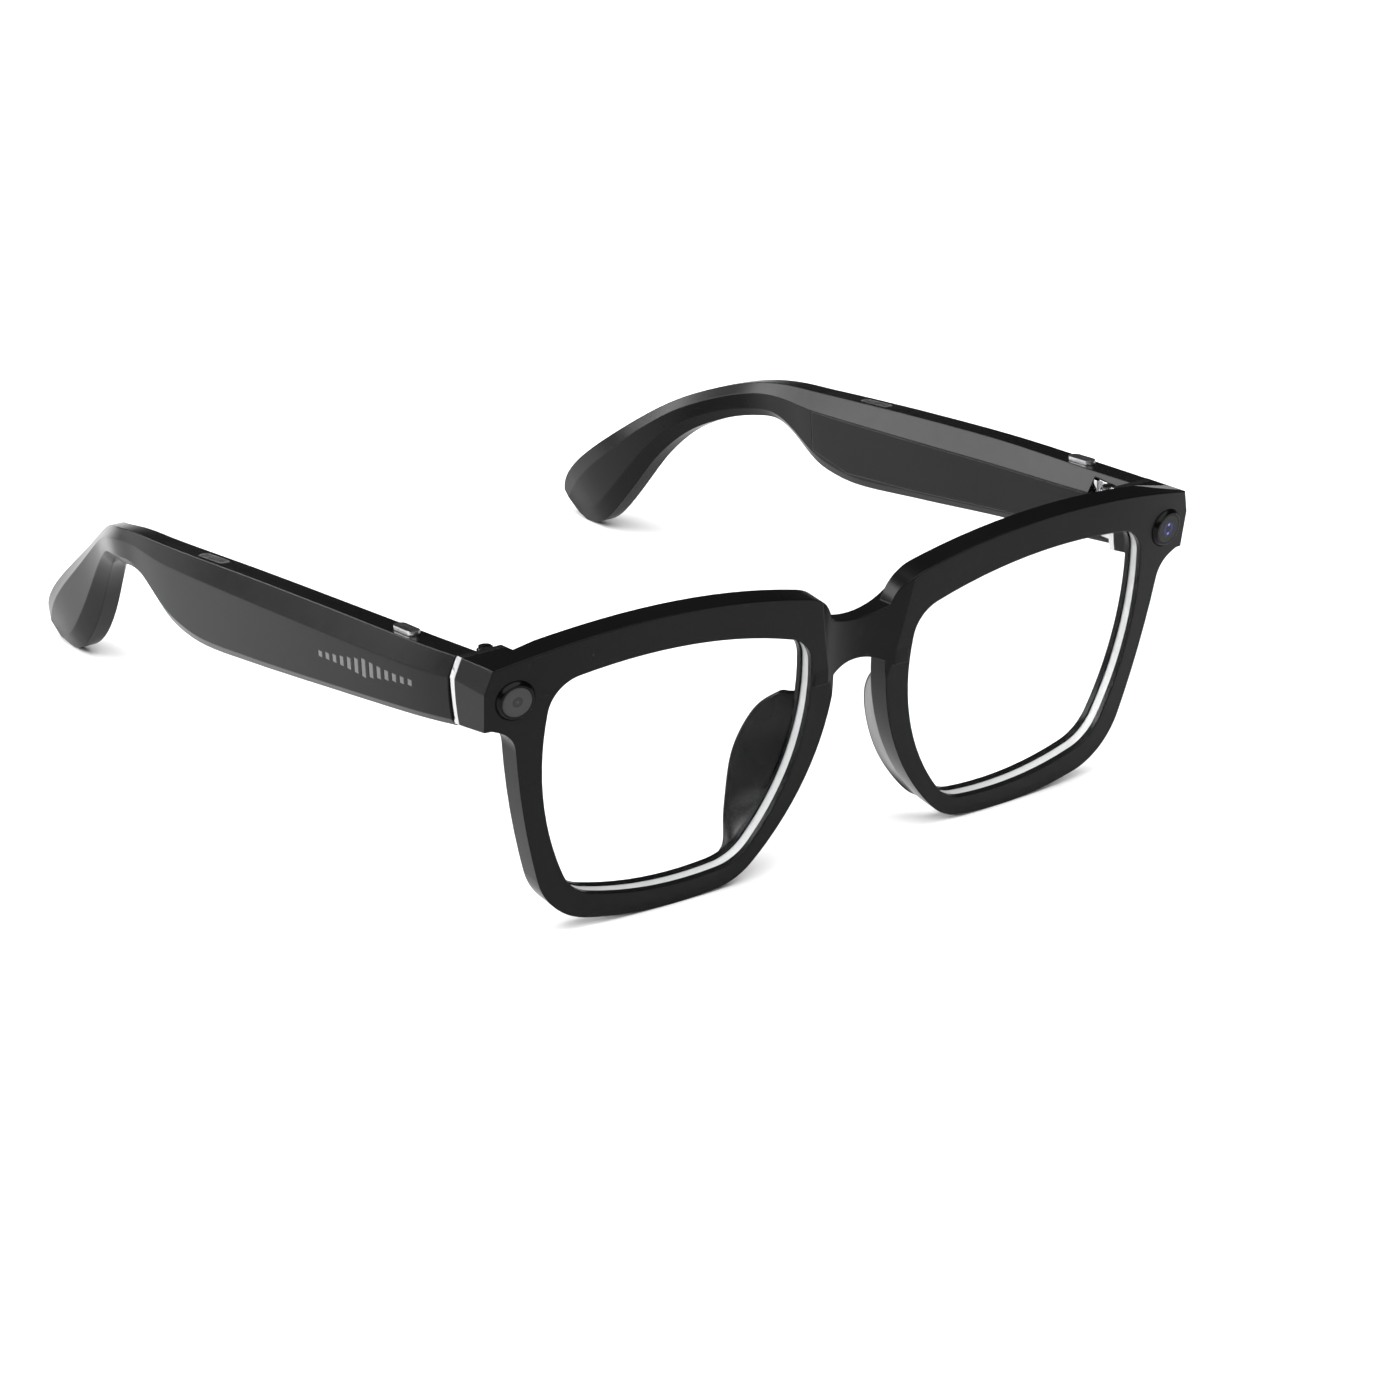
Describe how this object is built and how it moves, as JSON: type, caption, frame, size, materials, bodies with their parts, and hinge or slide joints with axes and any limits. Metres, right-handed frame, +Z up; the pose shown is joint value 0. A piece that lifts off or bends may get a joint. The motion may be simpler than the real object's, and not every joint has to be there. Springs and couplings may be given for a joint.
{
  "type": "smart glasses",
  "caption": "Black full-rim smart glasses with a camera and an indicator in the end pieces, folding temples that hold electronics, and a push button on each temple.",
  "frame": {"origin": "centre of the footprint of the open glasses, on the surface they stand on", "axes": "+Z up, +X to the wearer's left, -Y forwards through the lenses, +Y back along the temples"},
  "size_m": [0.1532, 0.1742, 0.0553],
  "materials": {
    "black_shell": "smooth black injection-moulded plastic, low satin gloss",
    "bezel": "polished black plastic ring",
    "lens": "clear demo lens with frosted edge",
    "camera_glass": "dark coated cover glass, blue-violet sheen",
    "indicator_window": "smoked light-guide window",
    "component_black": "matt moulded housing",
    "circuit_board": "green solder mask",
    "ribbon_cable": "amber polyimide film",
    "battery_foil": "pouch foil",
    "hinge_metal": "bright satin metal",
    "screw_steel": "machined steel",
    "grille_metal": "dark perforated metal",
    "button_metal": "bead-blasted aluminium",
    "mark_grey": "printed grey marks",
    "gold_contact": "gold plated"
  },
  "bodies": {
    "front": {"front_frame": "black_shell", "brow_cover": "black_shell", "front_flex": "ribbon_cable", "lens_left": "lens", "lens_right": "lens", "nose_pad_left": "black_shell", "nose_pad_right": "black_shell", "camera_bezel": "bezel", "camera_glass": "camera_glass", "camera_module": "component_black", "indicator_bezel": "bezel", "indicator_window": "indicator_window", "indicator_board": "circuit_board", "hinge_plate_left": "hinge_metal", "hinge_plate_right": "hinge_metal", "plate_screws_left": "screw_steel", "plate_screws_right": "screw_steel", "hinge_screw_left": "screw_steel", "hinge_screw_right": "screw_steel"},
    "left_temple": {"temple_housing_left": "black_shell", "temple_cover_left": "black_shell", "hinge_leaf_left": "hinge_metal", "leaf_screws_left": "screw_steel", "battery_left": "battery_foil", "speaker_left": "component_black", "speaker_grille_left": "grille_metal", "tact_switch_left": "component_black", "core_wire_left": "screw_steel", "main_board": "circuit_board"},
    "right_temple": {"temple_housing_right": "black_shell", "temple_cover_right": "black_shell", "hinge_leaf_right": "hinge_metal", "leaf_screws_right": "screw_steel", "battery_right": "battery_foil", "speaker_right": "component_black", "speaker_grille_right": "grille_metal", "tact_switch_right": "component_black", "core_wire_right": "screw_steel", "audio_board": "circuit_board", "touch_marks": "mark_grey", "charging_contacts": "gold_contact"},
    "left_button": {"button_left": "button_metal"},
    "right_button": {"button_right": "button_metal"}
  },
  "joints": [
    {"name": "left_temple_fold", "type": "hinge", "parent": "front", "child": "left_temple", "pos_m": [0.0663, -0.0713, 0.0454], "axis": [0, 0, 1], "range_deg": [0, 89]},
    {"name": "right_temple_fold", "type": "hinge", "parent": "front", "child": "right_temple", "pos_m": [-0.0663, -0.0713, 0.0454], "axis": [0, 0, -1], "range_deg": [0, 73]},
    {"name": "left_button_press", "type": "slide", "parent": "left_temple", "child": "left_button", "axis": [0, -0.0755, -0.9971], "range_m": [0, 0.0004], "stiffness_N_per_m": 400},
    {"name": "right_button_press", "type": "slide", "parent": "right_temple", "child": "right_button", "axis": [0, -0.0755, -0.9971], "range_m": [0, 0.0004], "stiffness_N_per_m": 400}
  ]
}
